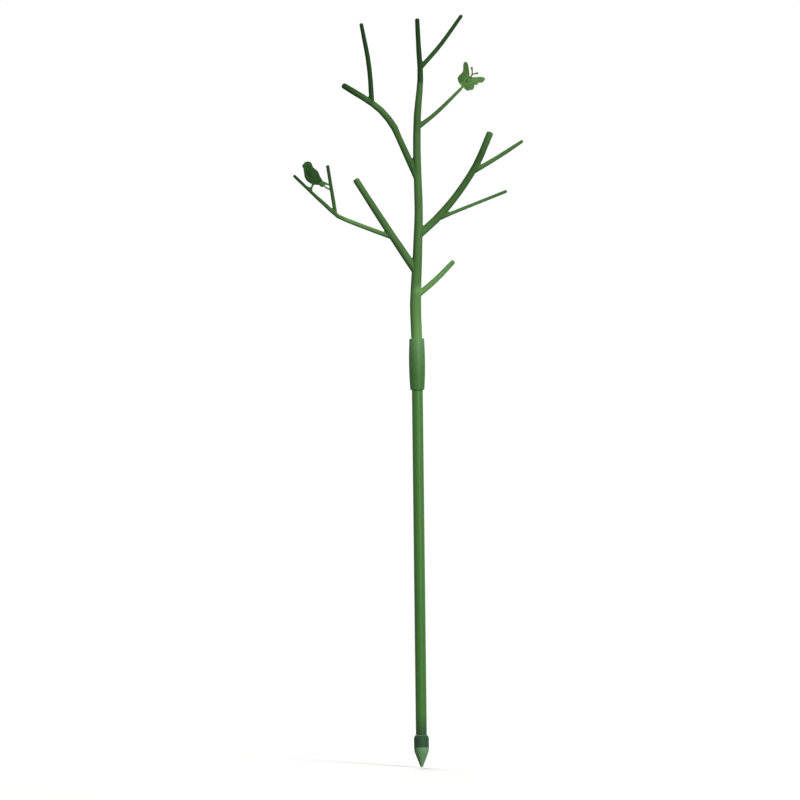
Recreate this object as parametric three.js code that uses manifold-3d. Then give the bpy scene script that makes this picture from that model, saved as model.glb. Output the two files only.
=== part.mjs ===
// Twig-topped plant stake, in millimetres, +Z up, with the origin at the point of the ground tip.
// A steel tube in a plastic jacket stands on a pointed tip. A barrel-shaped sleeve on its upper end
// carries a twig, one flat moulding in the XZ plane with a perched bird and a butterfly on its branches.
import * as THREE from 'three';
import { mergeVertices } from 'three/addons/utils/BufferGeometryUtils.js';
import Module from 'manifold-3d';

const wasm = await Module();
wasm.setup();

// Stake: a thin steel tube with a plastic jacket, cut off square at both ends.
const stakeDiameter = 11;
const stakeLength = 383.5;
const jacketWall = 0.7;
const steelWall = 0.5;

// Clearances: jacket on steel, round a push fit, and end to end where a piece stops on a seat.
const bondGap = 0.05;
const pushFit = 0.15;
const seatGap = 0.3;

// Ground tip: a cone with a blunt nose, a rounded shoulder and a collar that is drawn in at its lip.
const tipSolidLength = 18;
const tipSocketDepth = 14.6;
const tipWall = 1.85;
const tipHalfAngle = THREE.MathUtils.degToRad(21);
const tipNoseRadius = 1.6;
const tipShoulderRun = 2.5;
const tipLipHeight = 4.1;

// Joint sleeve: a barrel with a socket at each end and a ring between them that stops both pieces.
const sleeveLowerDepth = 24.8;
const sleeveUpperDepth = 24.8;
const sleeveLowerWall = 1.4;
const sleeveBellyWall = 2.45;
const sleeveUpperWall = 1.7;
const sleeveEdgeRound = 0.6;
const sleeveLeadIn = 0.5;
const stopRingThickness = 2;
const stopRingWidth = 2.2;

// Twig stem: its foot is a straight spigot in the sleeve. Above the sleeve it sways and tapers through
// these places, each so far to the side, so high above the sleeve's upper edge and so thick.
const spigotDiameter = 11;
const spigotChamfer = 0.8;
const stem = {
  foot: { x: -0.8, height: 34, diameter: 11.2 },
  lowSway: { x: 1.6, height: 82, diameter: 9.4 },
  lowBend: { x: 3.4, height: 127, diameter: 8.3 },
  waist: { x: 2.3, height: 185, diameter: 7.7 },
  highSway: { x: 3.2, height: 222, diameter: 7.3 },
  highBend: { x: 6.7, height: 262, diameter: 5.8 },
  neck: { x: 5.3, height: 290, diameter: 5 },
  top: { x: 4.1, height: 320.1, diameter: 4.4 },
};

// Branches: where each leaves its parent, along the parent's centre line (on the stem, from the sleeve's
// upper edge), how thick it is there, and the places it runs through, as offsets from its root.
const lowRightTwig = {
  leavesAt: 41.5,
  rootDiameter: 6,
  bend: { x: 20.1, height: 16.8, diameter: 5.5 },
  tip: { x: 38.9, height: 35.6, diameter: 4.6 },
};
const lowLeftBough = {
  leavesAt: 66.1,
  rootDiameter: 8.2,
  middle: { x: -30.4, height: 46.6, diameter: 7.2 },
  tip: { x: -60.2, height: 94, diameter: 6.2 },
};
const birdPerch = {
  leavesAt: 41.5,
  rootDiameter: 4.7,
  lowBend: { x: -45.9, height: 18, diameter: 4.4 },
  elbow: { x: -56.2, height: 22.8, diameter: 4.2 },
  fork: { x: -66.2, height: 32.2, diameter: 4 },
  rise: { x: -79.1, height: 44.1, diameter: 3.2 },
  tip: { x: -99.3, height: 63.8, diameter: 2.9 },
};
const perchUpright = {
  leavesAt: 62.5,
  rootDiameter: 3.8,
  tip: { x: -7.6, height: 49.7, diameter: 3.4 },
};
const rightBough = {
  leavesAt: 103,
  rootDiameter: 7.8,
  lowBend: { x: 18.8, height: 16.7, diameter: 7.6 },
  rise: { x: 40.5, height: 42, diameter: 6.9 },
  highBend: { x: 58.8, height: 69.9, diameter: 6.8 },
  tip: { x: 73.6, height: 102.7, diameter: 6.8 },
};
const lowerSideTwig = {
  leavesAt: 24,
  rootDiameter: 5,
  shank: { x: 17.8, height: 6.9, diameter: 3.6 },
  tip: { x: 71.3, height: 27.6, diameter: 3.1 },
};
const upperSideTwig = {
  leavesAt: 83,
  rootDiameter: 5,
  bend: { x: 29.3, height: 17.1, diameter: 4.1 },
  tip: { x: 51.6, height: 31.4, diameter: 3.4 },
};
const highLeftBough = {
  leavesAt: 159.5,
  rootDiameter: 7.2,
  rise: { x: -18.8, height: 42.6, diameter: 6.1 },
  elbow: { x: -22.5, height: 51.3, diameter: 7 },
  bend: { x: -37.5, height: 70.5, diameter: 6.5 },
  tip: { x: -74.3, height: 95.1, diameter: 5.8 },
};
const boughUpright = {
  leavesAt: 90,
  rootDiameter: 5.2,
  bend: { x: -2.5, height: 37.6, diameter: 4.7 },
  tip: { x: -9.9, height: 80.1, diameter: 4 },
};
const butterflyTwig = {
  leavesAt: 210.4,
  rootDiameter: 4.9,
  bend: { x: 20.2, height: 15.7, diameter: 4 },
  tip: { x: 45.5, height: 39.9, diameter: 3 },
};
const topRightTwig = {
  leavesAt: 270.6,
  rootDiameter: 4.8,
  bend: { x: 19.9, height: 22.1, diameter: 4.2 },
  tip: { x: 42.3, height: 52.6, diameter: 3.7 },
};
const branchEndRound = 1.7;

// Bird: it perches at this place along its branch. Its spine is given as offsets from there, with the
// body's girth as a radius, and the body is a little less deep than it is wide.
const perchAt = 95.2;
const birdDepthRatio = 0.86;
const birdSpine = {
  crown: { x: -4.5, height: 31.5, radius: 0 },
  head: { x: -3.9, height: 27, radius: 4.5 },
  neck: { x: -2.9, height: 22.8, radius: 5.2 },
  breast: { x: 0, height: 17.4, radius: 7.4 },
  flank: { x: 3.4, height: 14.1, radius: 6.4 },
  rump: { x: 7, height: 11.1, radius: 4.3 },
  vent: { x: 9.8, height: 9.4, radius: 2.4 },
};

// Beak and eye: offsets from the middle of the head. The eyes stand out of the head's two sides.
const beakRoot = { x: -1.6, height: 1.3, diameter: 4.2 };
const beakTip = { x: -5.6, height: -0.7, diameter: 1.4 };
const beakRound = 0.4;
const birdEye = { x: 0.1, height: 0.1, radius: 0.95, sink: 0.35 };

// Folded wings: each follows the body's side from the neck to the vent, sunk a little into it.
const wingShoulder = { x: -0.8, height: -0.2, diameter: 3 };
const wingBend = { x: 0.2, height: 0.6, diameter: 7.6 };
const wingFlight = { x: 1.4, height: -0.4, diameter: 5.2 };
const wingPoint = { x: -0.4, height: -0.6, diameter: 1.4 };
const birdWingDepthRatio = 0.3;
const birdWingSink = 0.6;

// Tail: offsets from the rump. A stub hangs under two prongs that run to the upright twig beside it.
const undertailRoot = { x: -0.4, height: -0.7, diameter: 3.4 };
const undertailTip = { x: 3.7, height: -5.4, diameter: 1.6 };
const tailRoot = { x: 1, height: -0.3, diameter: 3 };
const tailEndDiameter = 1.7;
const tailUpperAt = 30.2;
const tailLowerAt = 24.4;

// Leg: from the flank to the perch, with a web from the ankle to a toe further along the branch.
const birdHip = { x: -0.9, height: -3.6, diameter: 2.2 };
const birdAnkle = { x: -0.4, height: 5.4 };
const legDiameter = 1.8;
const toeReach = 7.5;
const footThickness = 1.6;

// Butterfly: it lies flat in the twig's plane with its tail end on the tip of its twig, turned a little
// against the twig's line. Offsets from there are to its right and towards its head.
const butterflyTilt = THREE.MathUtils.degToRad(5);
const butterflyBody = {
  tail: { x: 0, height: -3, diameter: 2.6 },
  waist: { x: 0, height: 6, diameter: 3 },
  head: { x: 0, height: 13.6, diameter: 2.4 },
};
const rightForeWing = {
  root: { x: 0.4, height: 7 },
  shoulder: { x: 1.2, height: 13.8 },
  leadingEdge: { x: 6.9, height: 19.7 },
  tip: { x: 10.9, height: 21.5 },
  outerEdge: { x: 12, height: 18.2 },
  notch: { x: 9.4, height: 14 },
  innerEdge: { x: 8, height: 10.2 },
};
const leftForeWing = {
  root: { x: -0.4, height: 7 },
  shoulder: { x: -1.8, height: 13.5 },
  leadingEdge: { x: -7.3, height: 18.7 },
  tip: { x: -12.9, height: 21.9 },
  outerEdge: { x: -13.7, height: 18.7 },
  notch: { x: -10.4, height: 14.6 },
  innerEdge: { x: -9, height: 9.6 },
};
const rightHindWing = {
  root: { x: 0.4, height: 8 },
  shoulder: { x: 7.2, height: 9.5 },
  outerEdge: { x: 9.4, height: 6 },
  lobe: { x: 6.3, height: 1.8 },
  innerEdge: { x: 0.4, height: 1.3 },
};
const leftHindWing = {
  root: { x: -0.4, height: 8 },
  shoulder: { x: -9.2, height: 8.8 },
  outerEdge: { x: -9.5, height: 5.6 },
  lobe: { x: -6.6, height: 2.5 },
  innerEdge: { x: -0.4, height: 1.3 },
};
const wingPlate = 0.8;
const wingBevel = 0.3;

// Feelers: offsets from the butterfly's head. They part a little way ahead of it, and each ends in a club.
const leftFeeler = {
  root: { x: 0, height: -0.6, diameter: 1.7 },
  fork: { x: -0.4, height: 2.4, diameter: 1.6 },
  bend: { x: -2.2, height: 5, diameter: 1.4 },
  tip: { x: -5.1, height: 7.6, diameter: 1.4 },
};
const rightFeeler = {
  root: { x: 0, height: -0.6, diameter: 1.7 },
  fork: { x: -0.4, height: 2.4, diameter: 1.6 },
  bend: { x: 0.5, height: 5, diameter: 1.4 },
  tip: { x: 2.5, height: 7.2, diameter: 1.4 },
};
const feelerClubRadius = 1.25;

// Facets
const roundSides = 36;
const stemSides = 20;
const boughSides = 16;
const twigSides = 12;
const fineSides = 8;
const boughFrom = 6;
const twigFrom = 2.6;
const ringSpacing = 12;
const profileSteps = 3;
const spineSteps = 20;

// Heights of the stack, from the point of the tip upwards.
const stakeBottom = tipSolidLength + seatGap;
const stakeTop = stakeBottom + stakeLength;
const stopRingBottom = stakeTop + seatGap;
const stopRingTop = stopRingBottom + stopRingThickness;
const sleeveBottom = stopRingBottom - sleeveLowerDepth;
const sleeveTop = stopRingTop + sleeveUpperDepth;
const spigotLength = sleeveUpperDepth - seatGap;
const steelRadius = stakeDiameter / 2 - jacketWall - bondGap;
const stakeSocketRadius = stakeDiameter / 2 + pushFit;
const spigotSocketRadius = spigotDiameter / 2 + pushFit;

// Turns a profile of radius and height about the Z axis.
function turned(profile, sides) {
  return new THREE.LatheGeometry(profile.getPoints(profileSteps), sides).rotateX(Math.PI / 2);
}

function tubeProfile(innerRadius, outerRadius, bottom, top) {
  const profile = new THREE.Path();
  profile.moveTo(innerRadius, bottom);
  profile.lineTo(outerRadius, bottom);
  profile.lineTo(outerRadius, top);
  profile.lineTo(innerRadius, top);
  profile.closePath();
  return profile;
}

function groundTipProfile() {
  const collarRadius = stakeSocketRadius + tipWall;
  const top = tipSolidLength + tipSocketDepth;
  const slope = Math.tan(tipHalfAngle);
  const coneStart = tipNoseRadius * Math.cos(tipHalfAngle);
  const coneBottom = tipNoseRadius * (1 - Math.sin(tipHalfAngle));
  const shoulder = coneBottom + (collarRadius - coneStart) / slope;
  const profile = new THREE.Path();
  profile.moveTo(0, 0);
  profile.absarc(0, tipNoseRadius, tipNoseRadius, -Math.PI / 2, -tipHalfAngle, false);
  profile.lineTo(collarRadius - tipShoulderRun * slope, shoulder - tipShoulderRun);
  profile.quadraticCurveTo(collarRadius, shoulder, collarRadius, shoulder + tipShoulderRun);
  profile.lineTo(collarRadius, top - tipLipHeight);
  profile.quadraticCurveTo(collarRadius, top - tipLipHeight / 2, stakeSocketRadius, top);
  profile.lineTo(stakeSocketRadius, tipSolidLength);
  profile.lineTo(0, tipSolidLength);
  return profile;
}

function sleeveProfile() {
  const lowerRadius = stakeSocketRadius + sleeveLowerWall;
  const bellyRadius = stakeSocketRadius + sleeveBellyWall;
  const upperRadius = spigotSocketRadius + sleeveUpperWall;
  const middle = (sleeveBottom + sleeveTop) / 2;
  const round = sleeveEdgeRound;
  const profile = new THREE.Path();
  profile.moveTo(stakeSocketRadius + sleeveLeadIn, sleeveBottom);
  profile.lineTo(lowerRadius - round, sleeveBottom);
  profile.quadraticCurveTo(lowerRadius, sleeveBottom, lowerRadius, sleeveBottom + round);
  profile.splineThru([
    new THREE.Vector2(bellyRadius, middle),
    new THREE.Vector2(upperRadius, sleeveTop - round),
  ]);
  profile.quadraticCurveTo(upperRadius, sleeveTop, upperRadius - round, sleeveTop);
  profile.lineTo(spigotSocketRadius + sleeveLeadIn, sleeveTop);
  profile.lineTo(spigotSocketRadius, sleeveTop - sleeveLeadIn);
  profile.lineTo(spigotSocketRadius, stopRingTop);
  profile.lineTo(spigotSocketRadius - stopRingWidth, stopRingTop);
  profile.lineTo(stakeSocketRadius - stopRingWidth, stopRingBottom);
  profile.lineTo(stakeSocketRadius, stopRingBottom);
  profile.lineTo(stakeSocketRadius, sleeveBottom + sleeveLeadIn);
  profile.closePath();
  return profile;
}

// Solids for joining, and back to a geometry.
function solidOf(geometry) {
  const bare = new THREE.BufferGeometry();
  bare.setAttribute('position', geometry.getAttribute('position'));
  bare.setIndex(geometry.getIndex());
  const merged = mergeVertices(bare, 1e-4);
  return new wasm.Manifold(new wasm.Mesh({
    numProp: 3,
    vertProperties: merged.getAttribute('position').array,
    triVerts: new Uint32Array(merged.getIndex().array),
  }));
}

function geometryOf(solid) {
  const mesh = solid.getMesh();
  const geometry = new THREE.BufferGeometry();
  geometry.setAttribute('position', new THREE.BufferAttribute(mesh.vertProperties, 3));
  geometry.setIndex(new THREE.BufferAttribute(mesh.triVerts, 1));
  geometry.computeVertexNormals();
  return geometry;
}

function point({ x, depth = 0, height }) {
  return new THREE.Vector3(x, depth, height);
}

// Bends a form that stands along +Z from the origin onto a centre line in or beside the XZ plane.
function bendAlong(geometry, line) {
  const position = geometry.getAttribute('position');
  const length = line.getLength();
  for (let i = 0; i < position.count; i += 1) {
    const share = THREE.MathUtils.clamp(position.getZ(i) / length, 0, 1);
    const centre = line.getPointAt(share);
    const ahead = line.getTangentAt(share);
    const side = position.getX(i);
    const depth = centre.y + position.getY(i);
    position.setXYZ(i, centre.x + ahead.z * side, depth, centre.z - ahead.x * side);
  }
  return geometry;
}

function sidesFor(diameter) {
  if (diameter >= boughFrom) return boughSides;
  return diameter >= twigFrom ? twigSides : fineSides;
}

// A round rod through stations with a diameter each. It is turned straight, with its free end rounded,
// and then bent onto the smooth line through the stations.
function rod(stations, { sides, flatten = 1, endRound = branchEndRound, chamfer = 0 } = {}) {
  const line = new THREE.CatmullRomCurve3(stations.map(point));
  const length = line.getLength();
  const radiusAt = (along) => {
    const place = line.getUtoTmapping(along / length) * (stations.length - 1);
    const first = Math.min(Math.floor(place), stations.length - 2);
    return THREE.MathUtils.lerp(stations[first].diameter, stations[first + 1].diameter, place - first) / 2;
  };
  const endRadius = stations.at(-1).diameter / 2;
  const round = Math.min(endRound, 0.8 * endRadius);
  const steps = stations.length > 2 ? Math.max(stations.length * 2, Math.ceil(length / ringSpacing)) : 1;
  const sideCount = sides ?? sidesFor(stations[0].diameter);
  const profile = new THREE.Path();
  profile.moveTo(0, 0);
  profile.lineTo(stations[0].diameter / 2 - chamfer, 0);
  if (chamfer > 0) profile.lineTo(stations[0].diameter / 2, chamfer);
  for (let step = 1; step < steps; step += 1) {
    const along = (length - round) * step / steps;
    profile.lineTo(radiusAt(along), along);
  }
  profile.lineTo(endRadius, length - round);
  profile.absarc(endRadius - round, length - round, round, 0, Math.PI / 2, false);
  profile.lineTo(0, length);
  const straight = new THREE.LatheGeometry(profile.getPoints(1), sideCount).rotateX(Math.PI / 2);
  return { line, length, geometry: bendAlong(straight.scale(1, flatten, 1), line) };
}

// The station at an offset from another one.
function beside(origin, offset) {
  return { ...offset, x: origin.x + offset.x, height: origin.height + offset.height };
}

// The station at a distance along a rod's centre line, from the place where its distances start.
function placeOn({ line, length, start = 0 }, along) {
  const { x, z } = line.getPointAt((start + along) / length);
  return { x, height: z };
}

// Twig: the stem first, then each branch from its place on its parent.
const twigForms = [];

function growFrom(parent, { leavesAt, rootDiameter, ...run }) {
  const root = placeOn(parent, leavesAt);
  const stations = Object.values(run).map((offset) => beside(root, offset));
  const branch = rod([{ ...root, diameter: rootDiameter }, ...stations]);
  twigForms.push(branch.geometry);
  return branch;
}

const spigot = [-spigotLength, -spigotLength / 2, 0].map((height) => (
  { x: 0, height, diameter: spigotDiameter }
));
const stemRod = {
  ...rod([...spigot, ...Object.values(stem)], { sides: stemSides, chamfer: spigotChamfer }),
  start: spigotLength,
};
twigForms.push(stemRod.geometry);
growFrom(stemRod, lowRightTwig);
const perchRod = growFrom(growFrom(stemRod, lowLeftBough), birdPerch);
const uprightRod = growFrom(perchRod, perchUpright);
const rightRod = growFrom(stemRod, rightBough);
growFrom(rightRod, lowerSideTwig);
growFrom(rightRod, upperSideTwig);
growFrom(growFrom(stemRod, highLeftBough), boughUpright);
const butterflyRod = growFrom(stemRod, butterflyTwig);
growFrom(stemRod, topRightTwig);

// Bird: a body turned along its spine, with what grows out of it.
const perch = placeOn(perchRod, perchAt);
const onBird = (part, offset) => beside(beside(perch, birdSpine[part]), offset);

function birdBody() {
  const stations = Object.values(birdSpine);
  const line = new THREE.CatmullRomCurve3(stations.map((station) => point(beside(perch, station))));
  const lengths = line.getLengths((stations.length - 1) * spineSteps);
  const girth = stations.map(({ radius }, k) => new THREE.Vector2(radius, lengths[k * spineSteps]));
  const [crown, head, ...body] = girth;
  const profile = new THREE.Path();
  profile.moveTo(crown.x, crown.y);
  profile.absellipse(0, head.y, head.x, head.y - crown.y, -Math.PI / 2, 0, false);
  profile.splineThru(body);
  profile.lineTo(0, line.getLength());
  return bendAlong(turned(profile, boughSides).scale(1, birdDepthRatio, 1), line);
}

function foldedWing(side) {
  const onSide = (part, offset) => {
    const depth = side * (birdSpine[part].radius * birdDepthRatio - birdWingSink);
    return { ...onBird(part, offset), depth };
  };
  return rod([
    onSide('neck', wingShoulder),
    onSide('breast', wingBend),
    onSide('flank', wingFlight),
    onSide('vent', wingPoint),
  ], { sides: twigSides, flatten: birdWingDepthRatio }).geometry;
}

function eyeBall(side) {
  const { radius } = birdSpine.head;
  const surface = Math.sqrt(radius ** 2 - birdEye.x ** 2 - birdEye.height ** 2) * birdDepthRatio;
  const place = point({ ...onBird('head', birdEye), depth: side * (surface - birdEye.sink) });
  const ball = new THREE.SphereGeometry(birdEye.radius, fineSides, fineSides / 2);
  return ball.translate(place.x, place.y, place.z);
}

function tailProng(along) {
  const end = { ...placeOn(uprightRod, along), diameter: tailEndDiameter };
  return rod([onBird('rump', tailRoot), end], { sides: fineSides }).geometry;
}

function footWeb() {
  const ankle = beside(perch, birdAnkle);
  const toe = placeOn(perchRod, perchAt + toeReach);
  const outline = new THREE.Shape();
  outline.moveTo(ankle.x, ankle.height);
  outline.lineTo(toe.x, toe.height);
  outline.lineTo(perch.x, perch.height);
  outline.closePath();
  const web = new THREE.ExtrudeGeometry(outline, { depth: footThickness, bevelEnabled: false });
  return web.rotateX(Math.PI / 2).translate(0, footThickness / 2, 0);
}

const leg = [
  onBird('flank', birdHip),
  { ...beside(perch, birdAnkle), diameter: legDiameter },
  { ...perch, diameter: legDiameter },
];
const beak = [onBird('head', beakRoot), onBird('head', beakTip)];
const undertail = [onBird('rump', undertailRoot), onBird('rump', undertailTip)];
twigForms.push(birdBody(), footWeb(), tailProng(tailUpperAt), tailProng(tailLowerAt));
twigForms.push(rod(leg).geometry, rod(undertail).geometry);
twigForms.push(rod(beak, { endRound: beakRound }).geometry);
for (const side of [-1, 1]) {
  twigForms.push(foldedWing(side), eyeBall(side));
}

// Butterfly: two pairs of wings on a straight body, laid along its twig.
function wingPlateOf(wing) {
  const points = Object.values(wing).map(({ x, height }) => new THREE.Vector2(x, height));
  const [root, shoulder, ...edge] = points;
  const outline = new THREE.Shape();
  outline.moveTo(root.x, root.y);
  outline.lineTo(shoulder.x, shoulder.y);
  outline.splineThru(edge);
  outline.closePath();
  const plate = new THREE.ExtrudeGeometry(outline, {
    depth: wingPlate,
    bevelThickness: wingBevel,
    bevelSize: wingBevel,
    bevelSegments: 1,
    curveSegments: profileSteps,
  });
  return plate.rotateX(Math.PI / 2).translate(0, wingPlate / 2, 0);
}

const butterflyForms = [rod(Object.values(butterflyBody)).geometry];
for (const wing of [leftForeWing, leftHindWing, rightForeWing, rightHindWing]) {
  butterflyForms.push(wingPlateOf(wing));
}
for (const feeler of [leftFeeler, rightFeeler]) {
  const stations = Object.values(feeler).map((offset) => beside(butterflyBody.head, offset));
  const tip = point(stations.at(-1));
  const club = new THREE.SphereGeometry(feelerClubRadius, fineSides, fineSides / 2);
  butterflyForms.push(rod(stations).geometry, club.translate(tip.x, tip.y, tip.z));
}
const twigEnd = butterflyRod.line.getPointAt(1);
const twigAhead = butterflyRod.line.getTangentAt(1);
const butterflyTurn = Math.atan2(twigAhead.x, twigAhead.z) - butterflyTilt;
for (const form of butterflyForms) {
  twigForms.push(form.rotateY(butterflyTurn).translate(twigEnd.x, twigEnd.y, twigEnd.z));
}

const twigSolid = twigForms.map(solidOf).reduce((joined, form) => joined.add(form));

// Pieces
const steel = new THREE.MeshStandardMaterial({ color: '#8f9396', roughness: 0.45, metalness: 1 });
const jacketGreen = new THREE.MeshStandardMaterial({ color: '#4f8244', roughness: 0.5, metalness: 0 });
const tipGreen = new THREE.MeshStandardMaterial({ color: '#47703f', roughness: 0.6, metalness: 0 });
const sleeveGreen = new THREE.MeshStandardMaterial({ color: '#4f8549', roughness: 0.5, metalness: 0 });
const twigGreen = new THREE.MeshStandardMaterial({ color: '#4b7a3f', roughness: 0.5, metalness: 0 });

const plantStake = new THREE.Group();
plantStake.name = 'plant_stake';

function addPiece(name, geometry, material, height = 0) {
  const piece = new THREE.Mesh(geometry, material);
  piece.name = name;
  piece.position.z = height;
  plantStake.add(piece);
}

const steelTube = tubeProfile(steelRadius - steelWall, steelRadius, stakeBottom, stakeTop);
const jacket = tubeProfile(steelRadius + bondGap, stakeDiameter / 2, stakeBottom, stakeTop);
addPiece('steel_core_tube', turned(steelTube, roundSides), steel);
addPiece('tube_jacket', turned(jacket, roundSides), jacketGreen);
addPiece('ground_tip', turned(groundTipProfile(), roundSides), tipGreen);
addPiece('joint_sleeve', turned(sleeveProfile(), roundSides), sleeveGreen);
addPiece('twig_top', geometryOf(twigSolid), twigGreen, sleeveTop);

export default plantStake;
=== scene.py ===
# Twig-topped plant stake: camera, light, and the finished surface of every piece.
# Lengths in the dictionaries are millimetres, and mm turns them to metres.
import math

import bmesh
import bpy
from mathutils import Matrix, Vector, kdtree, noise


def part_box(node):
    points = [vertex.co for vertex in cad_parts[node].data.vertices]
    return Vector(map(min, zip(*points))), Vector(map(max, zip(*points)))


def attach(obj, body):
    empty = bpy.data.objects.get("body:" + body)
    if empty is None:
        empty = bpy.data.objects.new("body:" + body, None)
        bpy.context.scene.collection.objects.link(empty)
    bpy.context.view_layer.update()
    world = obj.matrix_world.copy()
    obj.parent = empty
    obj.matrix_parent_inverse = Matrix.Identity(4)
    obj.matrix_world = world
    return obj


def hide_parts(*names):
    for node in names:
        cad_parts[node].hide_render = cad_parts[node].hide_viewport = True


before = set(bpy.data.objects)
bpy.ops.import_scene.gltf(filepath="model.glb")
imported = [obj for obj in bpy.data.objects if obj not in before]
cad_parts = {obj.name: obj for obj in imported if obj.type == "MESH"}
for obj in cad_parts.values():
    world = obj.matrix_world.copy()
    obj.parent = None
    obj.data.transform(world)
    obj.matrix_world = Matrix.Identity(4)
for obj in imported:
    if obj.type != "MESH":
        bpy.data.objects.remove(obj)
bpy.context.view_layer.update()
mm = 0.001
print("frame loaded:", ", ".join(sorted(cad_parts)))

# Camera: level, far off with a long lens, and rolled so that the stake leans as in the photo
cameraView = {"distance": 9000, "frameWidth": 800, "sensor": 36, "aim": (-17.45, 0, 367.5), "lean": 0.67}

cameraData = bpy.data.cameras.new("camera")
cameraData.sensor_width = cameraView["sensor"]
cameraData.lens = cameraView["sensor"] * cameraView["distance"] / cameraView["frameWidth"]
camera = bpy.data.objects.new("camera", cameraData)
camera.location = (Vector(cameraView["aim"]) - Vector((0, cameraView["distance"], 0))) * mm
camera.rotation_euler = (math.radians(90), math.radians(cameraView["lean"]), 0)
bpy.context.scene.collection.objects.link(camera)
bpy.context.scene.camera = camera
bpy.context.scene.view_settings.view_transform = "Standard"


def linear(code):  # sRGB hex to a linear colour
    shares = [int(code[i:i + 2], 16) / 255 for i in (1, 3, 5)]
    return [s / 12.92 if s <= 0.04045 else ((s + 0.055) / 1.055) ** 2.4 for s in shares] + [1]


def perMetre(size):  # texture scale for a pattern that repeats every so many millimetres
    return 1 / (size * mm)


def addNode(tree, kind, inputs=None, **settings):  # a node with its settings, values and links
    node = tree.nodes.new(kind)
    for name, value in settings.items():
        setattr(node, name, value)
    for socket, value in (inputs or {}).items():
        if isinstance(value, bpy.types.NodeSocket):
            tree.links.new(value, node.inputs[socket])
        else:
            node.inputs[socket].default_value = value
    return node


def newMaterial(name):  # an empty material and its node tree
    material = bpy.data.materials.new(name)
    material.use_nodes = True
    material.node_tree.nodes.clear()
    return material, material.node_tree


def bareObject(name, bm):  # a bmesh as an object at the origin
    mesh = bpy.data.meshes.new(name)
    bm.to_mesh(mesh)
    bm.free()
    made = bpy.data.objects.new(name, mesh)
    bpy.context.scene.collection.objects.link(made)
    return made


def newObject(name, bm, material):  # the same, smooth-shaded and with its material
    made = bareObject(name, bm)
    made.data.polygons.foreach_set("use_smooth", [True] * len(made.data.polygons))
    made.data.materials.append(material)
    return made


# Studio: a tall key light to the right, a broad one behind, a weak one to the left, a pale floor and a white
# surround. A lamp's azimuth is counted from the front to the right.
studio = {
    "target": (0, 0, 420),
    "floorRadius": 1500,
    "floorFade": (0.12, 0.45),  # from the rim inwards, as shares of the radius: surround white to lit paper
    "floorSegments": 96,
    "floorGap": 0.3,            # floor below the point of the tip
    "floorColour": "#d6d6d3",
    "floorGlow": 0.22,          # lifts the floor to white in the picture, and leaves the shadow on it
    "floorBounce": "#333332",   # what the floor throws back on the object
    "surroundLight": 0.02,
    "lamps": {
        "key": {"azimuth": 27, "elevation": 22, "distance": 4500, "size": (700, 4500), "watts": 300},
        "behind": {"azimuth": 190, "elevation": 34, "distance": 4500, "size": (2400, 2400), "watts": 240},
        "left": {"azimuth": 262, "elevation": 24, "distance": 4500, "size": (1800, 2400), "watts": 40},
    },
}


def whiteToTheEye(tree, shown, lighting):  # one shader for the eye and in gloss, another as a light
    path = addNode(tree, "ShaderNodeLightPath")
    seen = path.outputs["Is Camera Ray"]
    for ray in ("Is Glossy Ray", "Is Transmission Ray"):
        either = addNode(tree, "ShaderNodeMath", {0: seen, 1: path.outputs[ray]}, operation="MAXIMUM")
        seen = either.outputs[0]
    return addNode(tree, "ShaderNodeMixShader", {0: seen, 1: lighting, 2: shown}).outputs[0]


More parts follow.
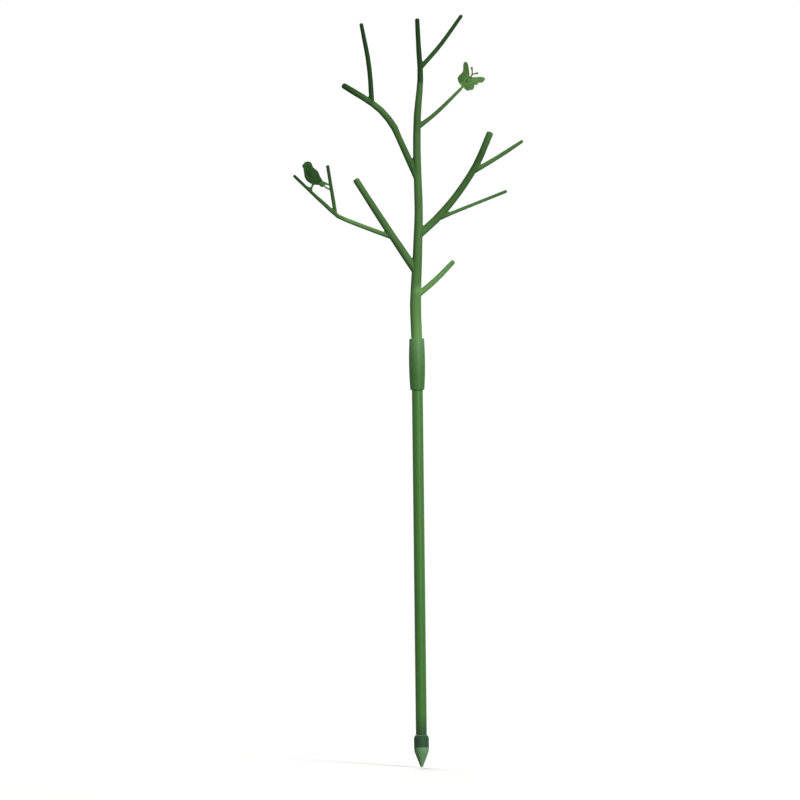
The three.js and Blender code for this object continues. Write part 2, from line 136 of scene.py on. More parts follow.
def setStudio():
    world = bpy.data.worlds.new("white surround")
    world.use_nodes = True
    tree = world.node_tree
    tree.nodes.clear()
    white = addNode(tree, "ShaderNodeBackground", {"Color": (1, 1, 1, 1), "Strength": 1})
    dim = addNode(tree, "ShaderNodeBackground",
                  {"Color": (1, 1, 1, 1), "Strength": studio["surroundLight"]})
    surround = whiteToTheEye(tree, white.outputs[0], dim.outputs[0])
    addNode(tree, "ShaderNodeOutputWorld", {"Surface": surround})
    bpy.context.scene.world = world

    for name, lamp in studio["lamps"].items():
        azimuth, elevation = math.radians(lamp["azimuth"]), math.radians(lamp["elevation"])
        level = math.cos(elevation)
        towards = Vector((math.sin(azimuth) * level, -math.cos(azimuth) * level, math.sin(elevation)))
        lampData = bpy.data.lights.new(name, "AREA")
        lampData.shape = "RECTANGLE"
        lampData.size, lampData.size_y = (side * mm for side in lamp["size"])
        lampData.energy = lamp["watts"]
        lampObject = bpy.data.objects.new(name, lampData)
        lampObject.location = (Vector(studio["target"]) + towards * lamp["distance"]) * mm
        lampObject.rotation_mode = "QUATERNION"
        lampObject.rotation_quaternion = towards.to_track_quat("Z", "Y")
        bpy.context.scene.collection.objects.link(lampObject)

    material, tree = newMaterial("studio paper, matt")
    place = addNode(tree, "ShaderNodeTexCoord").outputs["Object"]
    shrunk = addNode(tree, "ShaderNodeMapping",
                     {"Vector": place, "Scale": [perMetre(studio["floorRadius"])] * 3})
    inward = addNode(tree, "ShaderNodeTexGradient", {"Vector": shrunk.outputs[0]},
                     gradient_type="SPHERICAL")
    rim, core = studio["floorFade"]
    lit = addNode(tree, "ShaderNodeMapRange",
                  {"Value": inward.outputs["Fac"], "From Min": rim, "From Max": core},
                  interpolation_type="SMOOTHSTEP")
    paper = addNode(tree, "ShaderNodeBsdfDiffuse", {"Color": linear(studio["floorColour"])})
    glow = addNode(tree, "ShaderNodeEmission", {"Strength": studio["floorGlow"]})
    lifted = addNode(tree, "ShaderNodeAddShader", {0: paper.outputs[0], 1: glow.outputs[0]})
    white = addNode(tree, "ShaderNodeEmission", {"Strength": 1})
    shown = addNode(tree, "ShaderNodeMixShader",
                    {0: lit.outputs[0], 1: white.outputs[0], 2: lifted.outputs[0]})
    bounce = addNode(tree, "ShaderNodeBsdfDiffuse", {"Color": linear(studio["floorBounce"])})
    surface = whiteToTheEye(tree, shown.outputs[0], bounce.outputs[0])
    addNode(tree, "ShaderNodeOutputMaterial", {"Surface": surface})
    bm = bmesh.new()
    bmesh.ops.create_circle(bm, cap_ends=True, segments=studio["floorSegments"],
                            radius=studio["floorRadius"] * mm)
    bmesh.ops.translate(bm, verts=bm.verts, vec=(0, 0, -studio["floorGap"] * mm))
    newObject("floor", bm, material)


setStudio()
print("studio set")


# Both plastics refract alike. Their grain is drawn coarser than the real one, so that it shows close up.
plasticIor = 1.5
toneDetail, grainDetail = 3, 2                # of the noise
mixShare, mixFrom, mixTo, mixed = 0, 6, 7, 2  # sockets of a Mix node that mixes colours


def plastic(name, look):  # a plastic's shader with its output, and object coordinates for patterns
    material, tree = newMaterial(name)
    shader = addNode(tree, "ShaderNodeBsdfPrincipled",
                     {"IOR": plasticIor, "Specular IOR Level": look["specular"]})
    addNode(tree, "ShaderNodeOutputMaterial", {"Surface": shader.outputs[0]})
    place = addNode(tree, "ShaderNodeTexCoord").outputs["Object"]
    return material, tree, shader, place


def finish(tree, shader, look, place, tone, grain):  # colour by tone, roughness and bump by grain
    tint = addNode(tree, "ShaderNodeMix",
                   {mixShare: tone, mixFrom: linear(look["deep"]), mixTo: linear(look["pale"])},
                   data_type="RGBA").outputs[mixed]
    if "second" in look:  # another pair of colours takes over with height, or by the painted shade stored on the mesh
        if "change" in look:
            bottom, top = look["change"]
            height = addNode(tree, "ShaderNodeSeparateXYZ", {0: place}).outputs["Z"]
            share = addNode(tree, "ShaderNodeMapRange",
                            {"Value": height, "From Min": bottom * mm, "From Max": top * mm}).outputs[0]
        else:
            share = addNode(tree, "ShaderNodeAttribute", attribute_name="shade").outputs["Fac"]
        deep, pale = look["second"]
        other = addNode(tree, "ShaderNodeMix",
                        {mixShare: tone, mixFrom: linear(deep), mixTo: linear(pale)},
                        data_type="RGBA").outputs[mixed]
        tint = addNode(tree, "ShaderNodeMix", {mixShare: share, mixFrom: tint, mixTo: other},
                       data_type="RGBA").outputs[mixed]
    low, high = look["roughness"]
    rough = addNode(tree, "ShaderNodeMapRange", {"Value": grain, "To Min": low, "To Max": high})
    bump = addNode(tree, "ShaderNodeBump",
                   {"Height": grain, "Distance": look["relief"] * mm, "Strength": 1})
    tree.links.new(tint, shader.inputs["Base Color"])
    tree.links.new(rough.outputs[0], shader.inputs["Roughness"])
    tree.links.new(bump.outputs[0], shader.inputs["Normal"])


# Polyethylene, extruded over the tube: satin, with faint streaks drawn by the die, and painted shade just
# above the tip
jacketLook = {"deep": "#2a4329", "pale": "#324d31", "second": ("#39672d", "#467535"), "change": (33, 54),
              "streak": 1.6, "streakLength": 70, "dieLine": 0.8, "relief": 0.03, "roughness": (0.38, 0.48),
              "specular": 0.14}


def extrudedPolyethylene():
    look = jacketLook
    material, tree, shader, place = plastic("polyethylene, extruded", look)
    drawn = addNode(tree, "ShaderNodeMapping",
                    {"Vector": place, "Scale": (1, 1, look["streak"] / look["streakLength"])}).outputs[0]
    tone = addNode(tree, "ShaderNodeTexNoise",
                   {"Vector": drawn, "Scale": perMetre(look["streak"]),
                    "Detail": toneDetail}).outputs["Fac"]
    grain = addNode(tree, "ShaderNodeTexNoise",
                    {"Vector": drawn, "Scale": perMetre(look["dieLine"]),
                     "Detail": grainDetail}).outputs["Fac"]
    finish(tree, shader, look, place, tone, grain)
    return material


# Polypropylene, moulded in a spark-eroded tool: an even fine grain that keeps the highlight soft, and a
# green painted paler towards the upper end: painted light
sleeveLook = {"deep": "#36602f", "pale": "#457038", "second": ("#4f7747", "#5f8955"), "change": (396, 428),
              "cloud": 5, "grain": 0.45, "relief": 0.05, "roughness": (0.38, 0.48), "specular": 0.14}
# Polyethylene, moulded: the twig's satin skin, painted lighter at its foot and darker towards its top:
# painted light and shade
twigLook = {"deep": "#608c4d", "pale": "#76a660", "second": ("#163013", "#1d3c1a"), "cloud": 22,
            "grain": 0.6, "relief": 0.03, "roughness": (0.38, 0.48), "specular": 0.03}
# Polyethylene, moulded: the bird's deeper green, with painted light on breast, tail and leg, painted shade
# on wing and back
birdLook = {"deep": "#528246", "pale": "#5f9252", "second": ("#183313", "#1f3f1a"), "cloud": 4,
            "grain": 0.4, "relief": 0.02, "roughness": (0.38, 0.48), "specular": 0.04}
# Polyethylene, moulded: the butterfly's thin wings, a lighter green, with painted light and shade on its
# wings and body
butterflyLook = {"deep": "#67914f", "pale": "#79a55e", "second": ("#25421b", "#2f5023"), "cloud": 5,
                 "grain": 0.4, "relief": 0.02, "roughness": (0.38, 0.48), "specular": 0.05}
# Polyethylene, moulded: the tip, its cone painted paler as light from the floor below, its collar painted
# darker as a dark reflection, and its lip painted with a highlight
tipLook = {"deep": "#5b8559", "pale": "#719b6f", "second": ("#2a432e", "#3a563e"), "change": (19.1, 20.6),
           "cloud": 6, "grain": 0.5, "relief": 0.04, "roughness": (0.45, 0.6), "specular": 0.06}
lipLook = {"deep": "#4d6a4d", "pale": "#6b886a", "cloud": 3, "grain": 0.4, "relief": 0.03,
           "roughness": (0.4, 0.5), "specular": 0.08}


def mouldedPlastic(name, look):
    material, tree, shader, place = plastic(name, look)
    tone = addNode(tree, "ShaderNodeTexNoise",
                   {"Vector": place, "Scale": perMetre(look["cloud"]),
                    "Detail": toneDetail}).outputs["Fac"]
    grain = addNode(tree, "ShaderNodeTexNoise",
                    {"Vector": place, "Scale": perMetre(look["grain"]),
                     "Detail": grainDetail}).outputs["Fac"]
    finish(tree, shader, look, place, tone, grain)
    return material


# Mild steel, drawn and zinc plated: bright grey with a fine spangle
steelLook = {"deep": "#84898c", "pale": "#a9adb0", "spangle": 2.5, "roughness": (0.3, 0.5)}


def zincPlatedSteel():
    look = steelLook
    material, tree = newMaterial("mild steel, zinc plated")
    shader = addNode(tree, "ShaderNodeBsdfPrincipled", {"Metallic": 1})
    addNode(tree, "ShaderNodeOutputMaterial", {"Surface": shader.outputs[0]})
    place = addNode(tree, "ShaderNodeTexCoord").outputs["Object"]
    cell = addNode(tree, "ShaderNodeTexVoronoi", {"Vector": place, "Scale": perMetre(look["spangle"])})
    tint = addNode(tree, "ShaderNodeMix",
                   {mixShare: cell.outputs["Color"], mixFrom: linear(look["deep"]),
                    mixTo: linear(look["pale"])}, data_type="RGBA")
    low, high = look["roughness"]
    rough = addNode(tree, "ShaderNodeMapRange",
                    {"Value": cell.outputs["Distance"], "From Max": look["spangle"] * mm,
                     "To Min": low, "To Max": high})
    tree.links.new(tint.outputs[mixed], shader.inputs["Base Color"])
    tree.links.new(rough.outputs[0], shader.inputs["Roughness"])
    return material


# Turned pieces: points round the axis and over a rounded edge, and how close two points count as one
turning = {"segments": 96, "roundSegments": 4, "merge": 0.001, "ringReach": 0.01}


def turned(name, outline, material, closed=True, rounds=()):  # radii and heights, spun about Z
    bm = bmesh.new()
    verts = [bm.verts.new((radius * mm, 0, height * mm)) for radius, height in outline]
    ends = verts[1:] + verts[:1] if closed else verts[1:]
    edges = [bm.edges.new(pair) for pair in zip(verts, ends)]
    bmesh.ops.spin(bm, geom=verts + edges, axis=(0, 0, 1), cent=(0, 0, 0), angle=2 * math.pi,
                   steps=turning["segments"], use_merge=True)
    bmesh.ops.remove_doubles(bm, verts=bm.verts, dist=turning["merge"] * mm)
    bmesh.ops.recalc_face_normals(bm, faces=bm.faces)
    reach = turning["ringReach"] * mm
    for radius, height, width in rounds:
        def onRing(vert):
            return math.isclose(vert.co.xy.length, radius * mm, abs_tol=reach) and \
                math.isclose(vert.co.z, height * mm, abs_tol=reach)
        ring = [edge for edge in bm.edges if all(map(onRing, edge.verts))]
        bmesh.ops.bevel(bm, geom=ring, offset=width * mm, affect="EDGES",
                        segments=turning["roundSegments"], profile=0.5, material=-1)
    return newObject(name, bm, material)


def boxOf(node):  # bottom, top and outer radius of an upright round node, in millimetres
    low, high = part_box(node)
    return low.z / mm, high.z / mm, (high.x - low.x) / 2 / mm


def standIn(piece, body, node):  # rides on its body and stands for its node, which it hides
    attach(piece, body)
    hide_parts(node)


# Stake: the steel tube and its jacket, both cut off square
stakeSizes = {"jacketWall": 0.7, "steelWall": 0.5, "edge": 0.12}


def addTube(name, node, wall, material):
    bottom, top, radius = boxOf(node)
    edge = stakeSizes["edge"]
    outline = [(radius - wall, bottom), (radius, bottom), (radius, top), (radius - wall, top)]
    tube = turned(name, outline, material, rounds=[(radius, bottom, edge), (radius, top, edge)])
    standIn(tube, "stake", node)


addTube("jacket", "tube_jacket", stakeSizes["jacketWall"], extrudedPolyethylene())
addTube("coreTube", "steel_core_tube", stakeSizes["steelWall"], zincPlatedSteel())
print("stake made")

# Ground tip: blunt nose, cone, rounded shoulder, and a collar drawn in at the lip of its socket
tipSizes = {"halfAngle": 21, "nose": 1.6, "shoulder": 2.5, "lip": 4.1, "socketRadius": 5.65,
            "socketFloor": 18, "highlightBand": 0.8, "noseSteps": 6, "lipSteps": 12}


def addTip():
    sizes = tipSizes
    bottom, top, collar = boxOf("ground_tip")
    lean = math.radians(sizes["halfAngle"])
    nose = sizes["nose"]
    outline = []
    for step in range(sizes["noseSteps"] + 1):  # the nose, from the point round to the cone
        turn = (math.pi / 2 - lean) * step / sizes["noseSteps"]
        outline.append((nose * math.sin(turn), bottom + nose * (1 - math.cos(turn))))
    coneRadius, coneBottom = outline[-1]
    shoulder = coneBottom + (collar - coneRadius) / math.tan(lean)
    outline.append((collar, shoulder))
    lipWidth = collar - sizes["socketRadius"]
    for step in range(sizes["lipSteps"] + 1):  # the lip, from the collar's side over to the socket
        along = step / sizes["lipSteps"]
        outline.append((collar - lipWidth * along ** 2, top - sizes["lip"] * (1 - along)))
    outline += [(sizes["socketRadius"], sizes["socketFloor"]), (0, sizes["socketFloor"])]
    # painted light on the cone, a painted dark reflection on the collar
    paintedTip = mouldedPlastic("polyethylene, moulded and scuffed", tipLook)
    tip = turned("groundTip", outline, paintedTip, closed=False,
                 rounds=[(collar, shoulder, sizes["shoulder"])])
    tip.data.materials.append(mouldedPlastic("polyethylene, moulded, lip painted with a highlight", lipLook))
    # the top of the lip takes the painted highlight
    for face in tip.data.polygons:
        face.material_index = int(face.center.z > (top - sizes["highlightBand"]) * mm)
    standIn(tip, "stake", "ground_tip")


addTip()
print("tip made")

# Joint sleeve: a barrel with a socket at each end and a stop ring between them
sleeveSizes = {"lowerRadius": 7.05, "upperRadius": 7.35, "socketRadius": 5.65, "leadIn": 0.5,
               "ring": (402.1, 404.1), "ringRadius": 3.45, "edge": 0.6, "barrelSteps": 24}


def addSleeve():
    sizes = sleeveSizes
    bottom, top, belly = boxOf("joint_sleeve")
    socket, leadIn = sizes["socketRadius"], sizes["leadIn"]
    swell = belly - (sizes["lowerRadius"] + sizes["upperRadius"]) / 2
    outline = []
    for step in range(sizes["barrelSteps"] + 1):  # the barrel swells between its two edges
        up = step / sizes["barrelSteps"]
        straight = sizes["lowerRadius"] * (1 - up) + sizes["upperRadius"] * up
        outline.append((straight + swell * 4 * up * (1 - up), bottom + (top - bottom) * up))
    ringBottom, ringTop = sizes["ring"]
    outline += [(socket + leadIn, top), (socket, top - leadIn), (socket, ringTop),
                (sizes["ringRadius"], ringTop), (sizes["ringRadius"], ringBottom), (socket, ringBottom),
                (socket, bottom + leadIn), (socket + leadIn, bottom)]
    rounds = [(sizes["lowerRadius"], bottom, sizes["edge"]), (sizes["upperRadius"], top, sizes["edge"])]
    grained = mouldedPlastic("polypropylene, moulded with a fine grain", sleeveLook)
    sleeve = turned("jointSleeve", outline, grained, rounds=rounds)
    standIn(sleeve, "sleeve", "joint_sleeve")


addSleeve()
print("sleeve made")

# Twig: the moulding's skin, drawn smooth over its solid. The bird's and the butterfly's rooms, as outlines
# of x and height, are left out of it, because both have pieces of their own.
twigSizes = {
    "merge": 0.002,
    "voxel": 0.62,
    "smoothRounds": 14,
    "swell": 0.08,  # makes up for what the smoothing takes
    "waver": 0.12,
    "waverLength": 17,
    "waverStart": 8,  # swell and waver set in over this height above the sleeve
    "birdRoom": [(-96.7, 572.2), (-84.9, 575.5), (-88.3, 600), (-92, 611), (-114.5, 611), (-114.5, 597),
                 (-109.8, 584.7)],
    "butterflyRoom": [(58.3, 667), (36.3, 690.2), (61, 713.6), (83, 690.4)],
    "roomDepth": 30,
    "paintedShades": {  # each branch: its line of x and height, and how deep its painted shade is at foot and end
        "stemFoot": ([(0, 430), (-0.5, 470)], 0.2, 0.45),
        "lowStem": ([(0.6, 485), (3, 560), (2.5, 625)], 0.6, 0.64),
        "highStem": ([(3.2, 645), (5, 675)], 0.78, 0.68),
        "stemTop": ([(6.5, 694), (5.6, 716), (4.2, 746)], 0.94, 1),
        "lowRightTwig": ([(6, 475), (40, 508)], 0.15, 0.3),
        "lowLeftBough": ([(-4, 502), (-60, 590)], 0.65, 0.68),
        "lowPerch": ([(-33, 534), (-68, 548)], 0.55, 0.3),
        "highPerch": ([(-75, 551), (-121, 593)], 0.6, 1),
        "perchUpright": ([(-80, 556), (-87, 602)], 0.75, 0.92),
        "rightBough": ([(8, 538), (40, 569), (66, 610)], 0.57, 0.85),
        "rightBoughEnd": ([(70, 620), (75, 633)], 0.8, 0.65),
        "lowerSideTwig": ([(38, 555), (92, 575.5)], 0.5, 0.68),
        "upperSideTwig": ([(66, 600.5), (109, 627)], 0.55, 0.62),
        "highLeftBough": ([(-1, 597), (-18, 637), (-40, 663)], 0.8, 0.68),
        "highLeftBoughEnd": ([(-46, 667), (-70, 682)], 0.76, 0.97),
        "boughUpright": ([(-42, 667), (-50, 735)], 0.94, 1),
        "butterflyTwig": ([(9, 643.5), (45, 675)], 0.67, 0.6),
        "topRightTwig": ([(11, 703.5), (47, 750)], 0.84, 0.95),
    },
    "paintedShadeBlend": 3,
}


def addSlab(bm, outline, depth):  # an upright slab with an outline of x and height, about the middle plane
    face = bm.faces.new([bm.verts.new((x * mm, -depth / 2 * mm, z * mm)) for x, z in outline])
    grown = bmesh.ops.extrude_face_region(bm, geom=[face])["geom"]
    bmesh.ops.translate(bm, verts=[v for v in grown if isinstance(v, bmesh.types.BMVert)],
                        vec=(0, depth * mm, 0))


def cutterOf(outline):  # a slab of that outline, through the whole twig
    bm = bmesh.new()
    addSlab(bm, outline, twigSizes["roomDepth"])
    bmesh.ops.recalc_face_normals(bm, faces=bm.faces)
    return bareObject("cutter", bm)


def skinOf(bm, voxel, cutters=()):  # one closed skin round the forms, less the cutters, as a bmesh
    forms = bareObject("forms", bm)
    for cutter in cutters:
        cut = forms.modifiers.new("cut", "BOOLEAN")
        cut.object = cutter
        cut.operation = "DIFFERENCE"
        cut.solver = "EXACT"
    remesh = forms.modifiers.new("skin", "REMESH")
    remesh.mode = "VOXEL"
    remesh.voxel_size = voxel * mm
    evaluated = forms.evaluated_get(bpy.context.evaluated_depsgraph_get())
    skin = bmesh.new()
    skin.from_mesh(evaluated.to_mesh())
    for spent in [forms, *cutters]:
        bpy.data.objects.remove(spent)
    return skin


smoothing = (0.5, -0.53)  # inwards, then out again by a little more


def evenOut(bm, rounds):  # smooths ripples and leaves thick and thin as they are
    for _ in range(rounds):
        for factor in smoothing:
            bmesh.ops.smooth_vert(bm, verts=bm.verts, factor=factor, use_axis_x=True, use_axis_y=True,
                                  use_axis_z=True)


def between(stations, steps):  # the stations and a smooth run of points between them
    found = []
    last = len(stations) - 1
    for i in range(last):
        a, b, c, d = (Vector(stations[min(max(k, 0), last)]) for k in (i - 1, i, i + 1, i + 2))
        for step in range(steps):
            t = step / steps
            found.append((2 * b + (c - a) * t + (2 * a - 5 * b + 4 * c - d) * t ** 2
                          + (3 * b - a - 3 * c + d) * t ** 3) / 2)
    return found + [Vector(stations[-1])]


paintedShadeLines = {"steps": 12, "nearest": 3}  # places between two stations of a line, and how many are blended


def shadeBy(bm, sizes):  # each point of the skin blends the painted shades of the nearest places on the lines
    marks = []
    for line, foot, end in sizes["paintedShades"].values():
        run = between(line, paintedShadeLines["steps"])
        marks += [(point, foot + (end - foot) * i / (len(run) - 1)) for i, point in enumerate(run)]
    places = kdtree.KDTree(len(marks))
    for i, (point, _) in enumerate(marks):
        places.insert((point.x * mm, 0, point.y * mm), i)
    places.balance()
    # the painted light and shade, stored on the skin's points
    layer = bm.verts.layers.float.new("shade")
    for vert in bm.verts:
        total = shade = 0
        for _, i, distance in places.find_n((vert.co.x, 0, vert.co.z), paintedShadeLines["nearest"]):
            weight = (distance / mm + sizes["paintedShadeBlend"]) ** -2
            shade += weight * marks[i][1]
            total += weight
        vert[layer] = shade / total


def addTwig():
    sizes = twigSizes
    bm = bmesh.new()
    bm.from_mesh(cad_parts["twig_top"].data)
    bmesh.ops.remove_doubles(bm, verts=bm.verts, dist=sizes["merge"] * mm)
    rooms = [cutterOf(sizes["birdRoom"]), cutterOf(sizes["butterflyRoom"])]
    bm = skinOf(bm, sizes["voxel"], rooms)
    evenOut(bm, sizes["smoothRounds"])
    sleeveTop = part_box("joint_sleeve")[1].z
    bm.normal_update()
    for vert in bm.verts:  # grown, not machined: the skin wavers a little above the sleeve
        above = min(max((vert.co.z - sleeveTop) / (sizes["waverStart"] * mm), 0), 1)
        waver = noise.noise(vert.co * perMetre(sizes["waverLength"])) * sizes["waver"]
        vert.co += vert.normal * (sizes["swell"] + waver) * above * mm
    # painted light and shade, branch by branch
    shadeBy(bm, sizes)
    print("twig skin:", len(bm.faces), "faces")
    twig = newObject("twig", bm, mouldedPlastic("polyethylene, moulded", twigLook))
    standIn(twig, "twig", "twig_top")


addTwig()
print("twig made")


formSteps = 6                   # between two stations of a form
domeAngles = (25, 50, 70, 84)   # rings of a form's rounded ends
stoutSides, slimSides = 24, 14  # points round a form


def addForm(bm, stations, sides=stoutSides, boxy=2):
    # a closed form through stations of x, y, z, width and thickness; its thickness lies along Y,
    # and above 2, boxy flattens the sides of its oval
    curve = between(stations, formSteps)
    points = [Vector(station[:3]) for station in curve]
    rings = []
    for i, station in enumerate(curve):
        ahead = (points[min(i + 1, len(points) - 1)] - points[max(i - 1, 0)]).normalized()
        rings.append((points[i], ahead, station[3], station[4]))
    domes = []
    for (point, ahead, width, thickness), side in ((rings[0], -1), (rings[-1], 1)):  # rounded ends
        reach = min(width, thickness) / 2
        domes.append([(point + ahead * side * reach * math.sin(turn), ahead, width * math.cos(turn),
                       thickness * math.cos(turn)) for turn in map(math.radians, domeAngles)])
    form = bmesh.new()
    loops = []
    for point, ahead, width, thickness in domes[0][::-1] + rings + domes[1]:
        across = Vector((0, 1, 0)).cross(ahead).normalized()
        axes = Matrix((across, ahead.cross(across), ahead)).transposed().to_4x4()
        spread = Matrix.Diagonal((width / 2 * mm, thickness / 2 * mm, 1, 1))
        ring = bmesh.ops.create_circle(form, segments=sides, radius=1)["verts"]
        for vert in ring:
            vert.co = [math.copysign(abs(part) ** (2 / boxy), part) for part in vert.co]
        bmesh.ops.transform(form, matrix=Matrix.Translation(point * mm) @ axes @ spread, verts=ring)
        loops.append(list({edge for vert in ring for edge in vert.link_edges}))
    for loop, following in zip(loops, loops[1:]):
        bmesh.ops.bridge_loops(form, edges=loop + following)
    bmesh.ops.holes_fill(form, edges=loops[0] + loops[-1], sides=0)
    mesh = bpy.data.meshes.new("form")
    form.to_mesh(mesh)
    form.free()
    bm.from_mesh(mesh)
    bpy.data.meshes.remove(mesh)


# Bird: forms of a small perching bird laid over each other and drawn into one skin. Stations are
# x, height, width, in the plane of the twig; the forms of the wings and the eyes lie on both sides.
birdSizes = {
    "voxel": 0.3,
    "smoothRounds": 5,
    "depth": 0.86,  # of the body, to its width
    "boxy": 3,
    "paintedShades": {  # lines of x and height, and how deep the painted shade is at their two ends
        "crown": ([(-108.6, 606), (-104.4, 604.6)], 0.8, 0.85),
        "face": ([(-110.6, 602.6), (-106.3, 603)], 0.5, 1),
        "breast": ([(-109.6, 598), (-108.8, 592), (-102.4, 586.6)], 0.6, 0.7),
        "wing": ([(-105.6, 597), (-100.4, 590.4)], 0.98, 0.9),
        "back": ([(-103, 601), (-98.2, 596.2), (-95.6, 591.4)], 0.9, 0.95),
        "rump": ([(-99, 586.4), (-96.2, 588.2)], 0.82, 0.9),
        "tail": ([(-94, 583.8), (-84.5, 583.2)], 0.65, 0.3),
        "leg": ([(-102, 584), (-103.6, 578.6)], 0.1, 0.75),
    },
    "paintedShadeBlend": 1,
    "body": [(-107.1, 603.4, 9.2), (-106.2, 599.4, 10.4), (-103.9, 594.6, 14.2), (-101.4, 591.2, 14.2),
             (-98.6, 588.7, 11.4), (-95.8, 586.9, 8), (-93.4, 585.4, 4.8)],
    "upperBeak": [(-108.2, 604.8, 4.6), (-110.3, 603.6, 3.2), (-112, 602.7, 1.5)],
    "lowerBeak": [(-108.8, 602.4, 2.8), (-110.6, 601.8, 2), (-111.6, 601.6, 1.3)],
    "brow": [[(-109.2, 602.5, 0.9), (-107.9, 603.7, 1.1), (-106, 605.1, 0.9)]],
    "eye": (-107, 603, 0.95),
    "eyeSink": 0.15,
    "cheek": [[(-108.2, 600.2, 2.4), (-106.4, 599.8, 3.4), (-104.7, 601.2, 2.4)]],
    "flightFeathers": [
        [(-102.6, 590.6, 2.4), (-100.6, 588.9, 2.6), (-98.6, 587.6, 1.5)],
        [(-102, 592.6, 2.6), (-99.4, 590, 2.8), (-96.6, 587.6, 1.5)],
        [(-100.8, 594.8, 2.6), (-98.2, 591.8, 2.8), (-95.4, 588.4, 1.5)],
    ],
    "coverts": [
        [(-104.6, 591.4, 2.6), (-102.4, 589.8, 3.2), (-101, 588.9, 2.4)],
        [(-103.6, 593.6, 2.8), (-101.2, 591.7, 3.2), (-99.8, 590.6, 2.4)],
        [(-102.4, 595.6, 2.6), (-100.2, 593.6, 2.8), (-98.8, 592.4, 2.2)],
    ],
    "shoulder": [[(-106.7, 598.6, 3), (-105.4, 596.2, 5.6), (-103.6, 593.9, 6.6), (-102.4, 592.6, 5.2)]],
    "relief": {  # thickness, how far the first stands proud of the body, and how much more each next one
        "flightFeathers": (1.4, 0.3, 0.12),
        "coverts": (1.6, 0.65, 0.1),
        "shoulder": (2.2, 1.05, 0),
        "cheek": (1.2, 0.3, 0),
        "brow": (1.2, 0.5, 0),
    },
    "layers": {"first": 1.3, "step": 0.15},  # thickness to width in the fan and the toes, less for each next
    "tailFan": [
        [(-96.6, 586.4, 2.4), (-94.6, 584, 2.2), (-93.4, 582.2, 1.5)],
        [(-96.4, 586.2, 2.4), (-94.2, 583.2, 2.2), (-92.7, 581.7, 1.5)],
        [(-96, 586.2, 2.2), (-93.2, 583.6, 1.8), (-91.9, 582.9, 1.3)],
    ],
    "upperProng": [(-95.2, 586.8, 3.6), (-91.5, 585.5, 3.1), (-87.6, 584.2, 2.2), (-84, 583.2, 1.9)],
    "lowerProng": [(-94.6, 585.6, 2.4), (-91.4, 583, 1.9), (-87.9, 580.1, 1.7), (-83.3, 578.3, 1.9)],
    "leg": [(-100.6, 587.2, 3.4), (-101.4, 585, 2.6), (-102.7, 582.6, 2.1), (-103.4, 580.4, 2.1)],
    "toes": [[(-103.4, 580.6, 2.1), (-103.6, 578.2, 1.9), (-102.6, 575.7, 1.6)],
             [(-103.2, 580.9, 1.8), (-105.4, 580.7, 1.7), (-108.4, 582, 1.4)],
             [(-103.5, 579.8, 1.9), (-105.2, 579.5, 1.8), (-106.8, 580.4, 1.4)],
             [(-103.6, 578.8, 1.9), (-104.6, 578.3, 1.8), (-105.4, 578.8, 1.4)]],
}


def addBird():
    sizes = birdSizes
    bm = bmesh.new()
    depth, boxy = sizes["depth"], sizes["boxy"]
    body = between(sizes["body"], formSteps)

    def sideAt(x, z):  # how far from the middle plane the body's side lies there
        found = 0
        for middle in body:
            away = math.hypot(x - middle[0], z - middle[1])
            inside = (middle[2] / 2) ** boxy - away ** boxy
            found = max(found, depth * max(inside, 0) ** (1 / boxy))
        return found

    def inMiddle(stations, thickness, **more):  # a form in the middle plane, so many widths thick
        addForm(bm, [(x, 0, z, width, width * thickness) for x, z, width in stations], **more)

    def onSides(stations, thickness, proud):  # a flat form on each side, standing proud of the body
        for side in (-1, 1):
            laid = [(x, side * (sideAt(x, z) + proud - thickness / 2), z, width, thickness)
                    for x, z, width in stations]
            addForm(bm, laid, sides=slimSides)

    inMiddle(sizes["body"], depth, boxy=boxy)
    for name in ("upperBeak", "lowerBeak", "upperProng", "lowerProng", "leg"):
        inMiddle(sizes[name], 1)
    for name in ("tailFan", "toes"):
        for i, form in enumerate(sizes[name]):
            inMiddle(form, sizes["layers"]["first"] - sizes["layers"]["step"] * i)
    for name, (thickness, proud, more) in sizes["relief"].items():
        for i, form in enumerate(sizes[name]):
            onSides(form, thickness, proud + more * i)
    x, z, radius = sizes["eye"]
    for side in (-1, 1):
        bmesh.ops.create_icosphere(bm, subdivisions=3, radius=radius * mm, matrix=Matrix.Translation(
            Vector((x, side * (sideAt(x, z) - sizes["eyeSink"]), z)) * mm))
    bmesh.ops.recalc_face_normals(bm, faces=bm.faces)
    bm = skinOf(bm, sizes["voxel"])
    evenOut(bm, sizes["smoothRounds"])
    # painted light and shade, form by form
    shadeBy(bm, sizes)
    print("bird skin:", len(bm.faces), "faces")
    bird = newObject("bird", bm, mouldedPlastic("polyethylene, moulded deep green", birdLook))
    standIn(bird, "twig", "twig_top")


addBird()
print("bird made")

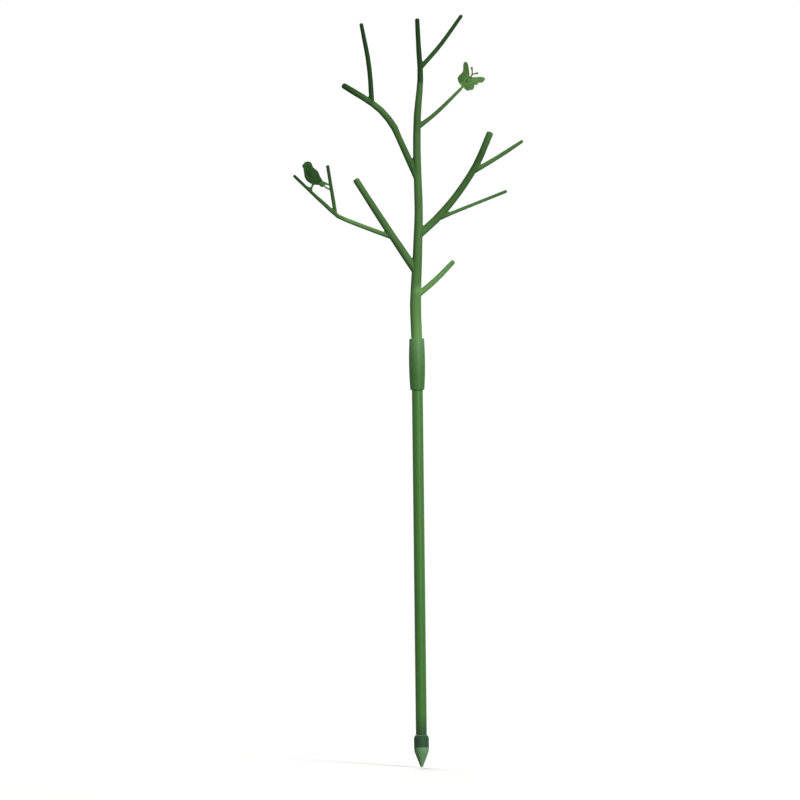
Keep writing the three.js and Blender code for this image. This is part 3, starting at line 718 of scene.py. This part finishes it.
# Butterfly: thin wings with a rim and raised veins, a ringed body that runs on from the twig, two feelers.
# Its own plan is drawn flat: to its right, then ahead, then a width, from the end of the twig.
butterflySizes = {
    "voxel": 0.25,
    "smoothRounds": 2,
    "twigEnd": (48, 679.28),
    "turn": 41.5,          # from straight up, towards the right
    "plate": 0.9,
    "cup": 1.4,            # how far the wings' tips lie back
    "span": 13,
    "rightFore": [(0.4, 8), (0.4, 11.5), (1.3, 14), (3.8, 16.6), (7.4, 20), (10.1, 21.7), (11.5, 21.6),
                  (12.1, 19.2), (11.8, 17.3), (9.3, 14.6), (9.4, 12.9), (8.4, 11), (7.1, 10.1), (3.4, 7.8)],
    "leftFore": [(-0.4, 8), (-0.5, 13.2), (-2.4, 13.6), (-4.6, 15.7), (-7.8, 19), (-10.2, 20.9),
                 (-12.2, 22), (-14, 21.4), (-14.2, 20.2), (-13.3, 18.3), (-10.8, 15.2), (-9.1, 11.9),
                 (-9, 9.6), (-3.9, 7.9)],
    "rightHind": [(0.4, 8), (4.1, 8.9), (7.2, 9.4), (8.9, 8.2), (9.3, 5.4), (7.7, 3.8), (6.5, 1.8),
                  (4.2, 1.2), (1.9, 1.4), (0.4, 1.2)],
    "leftHind": [(-0.4, 8), (-4.5, 8.8), (-9.1, 8.9), (-9.4, 7.4), (-9.3, 5.8), (-8.5, 4), (-6.6, 2.8),
                 (-4.3, 1.8), (-2.2, 1.6), (-0.4, 1.2)],
    "outlineSteps": 4,
    "rim": 0.9,
    "rimSink": 0.7,        # where the rims lie, as a share of half the plate
    "foreVeins": {"root": 10, "ends": (4, 5, 6, 7, 9, 11)},  # root on the body, ends at outline points
    "hindVeins": {"root": 5.4, "ends": (2, 3, 4, 5, 6, 7)},
    "veinBend": 0.9,
    "vein": 0.7,
    "paintedShades": {  # lines of x and height, and how deep the painted shade is at their two ends
        "leftFore": ([(51.2, 703), (53, 695)], 0.75, 0.7),
        "leftHind": ([(45, 689.6), (48.4, 687.4)], 0.78, 0.75),
        "rightFore": ([(60, 687.4), (70, 688.6)], 0.45, 0.47),
        "rightHind": ([(58.6, 680.4), (53, 680.4)], 0.57, 0.65),
        "body": ([(49.4, 680.6), (53, 684.8), (56.4, 689.2)], 0.4, 0.6),
        "feelers": ([(58, 692), (63, 693.6)], 0.7, 0.2),
    },
    "paintedShadeBlend": 0.8,
    "bodyDepth": 1.5,      # of the body, to its width
    "tail": [(0, -5, 2.2), (0, -2.6, 2.5)],
    "rings": {"first": -1.4, "step": 1.3, "count": 7, "wide": 2.9, "narrow": 2.45},
    "breast": [(0, 7, 2.5), (0, 8.8, 3.7), (0, 10.6, 3.3), (0, 11.6, 2.4)],
    "head": [(0, 12, 2.2), (0, 13.4, 2.7)],
    "leftFeeler": [(0, 13, 1.9), (-0.4, 15.9, 1.7), (-1.2, 17.4, 1.5), (-2.9, 19.3, 1.5),
                   (-4.4, 20.7, 1.6)],
    "leftClub": [(-4.2, 20.5, 1.9), (-5, 21.1, 2.5), (-5.6, 21.5, 2.1)],
    "rightFeeler": [(0, 13, 1.9), (-0.4, 15.9, 1.7), (-0.4, 17.2, 1.5), (0.8, 19, 1.5), (1.7, 20, 1.6)],
    "rightClub": [(1.6, 19.9, 1.9), (2.3, 20.7, 2.6), (2.8, 21.2, 2.2)],
    "clubDepth": 0.75,     # of the clubs, to their width
}


def addButterfly():
    sizes = butterflySizes
    bm = bmesh.new()

    def inPlan(stations, off=0, flat=1):  # a form on the plan, so many widths thick
        addForm(bm, [(u, off, v, width, width * flat) for u, v, width in stations], sides=slimSides)

    def addWing(outline, veins):
        addSlab(bm, between(outline + outline[:1], sizes["outlineSteps"])[:-1], sizes["plate"])
        for off in (-sizes["plate"] / 2, sizes["plate"] / 2):
            inPlan([(u, v, sizes["rim"]) for u, v in outline[1:]], off=off * sizes["rimSink"])
            for end in veins["ends"]:  # each vein runs from the body to the rim in a slight bow
                root, tip = Vector((0, veins["root"])), Vector(outline[end])
                bow = (tip - root).orthogonal().normalized() * sizes["veinBend"] * math.copysign(1, tip.x)
                run = [root, (root + tip) / 2 + bow, tip]
                inPlan([(point.x, point.y, sizes["vein"]) for point in run], off=off)

    for side in ("right", "left"):
        addWing(sizes[side + "Fore"], sizes["foreVeins"])
        addWing(sizes[side + "Hind"], sizes["hindVeins"])
    for vert in bm.verts:
        vert.co.y += sizes["cup"] * mm * (vert.co.x / (sizes["span"] * mm)) ** 2
    rings = sizes["rings"]
    ringed = list(sizes["tail"])
    for i in range(rings["count"]):
        v = rings["first"] + rings["step"] * i
        ringed += [(0, v, rings["wide"]), (0, v + rings["step"] / 2, rings["narrow"])]
    for form in (ringed, sizes["breast"], sizes["head"]):
        inPlan(form, flat=sizes["bodyDepth"])
    for side in ("right", "left"):
        inPlan(sizes[side + "Feeler"])
        inPlan(sizes[side + "Club"], flat=sizes["clubDepth"])
    bmesh.ops.recalc_face_normals(bm, faces=bm.faces)
    x, z = sizes["twigEnd"]
    turn = Matrix.Rotation(math.radians(sizes["turn"]), 4, "Y")
    toTwig = Matrix.Translation(Vector((x, 0, z)) * mm) @ turn
    bmesh.ops.transform(bm, matrix=toTwig, verts=bm.verts)
    bm = skinOf(bm, sizes["voxel"])
    evenOut(bm, sizes["smoothRounds"])
    # painted light on the right wings and body, painted shade on the left wings
    shadeBy(bm, sizes)
    print("butterfly skin:", len(bm.faces), "faces")
    butterfly = newObject("butterfly", bm, mouldedPlastic("polyethylene, moulded thin", butterflyLook))
    standIn(butterfly, "twig", "twig_top")


addButterfly()
print("butterfly made")
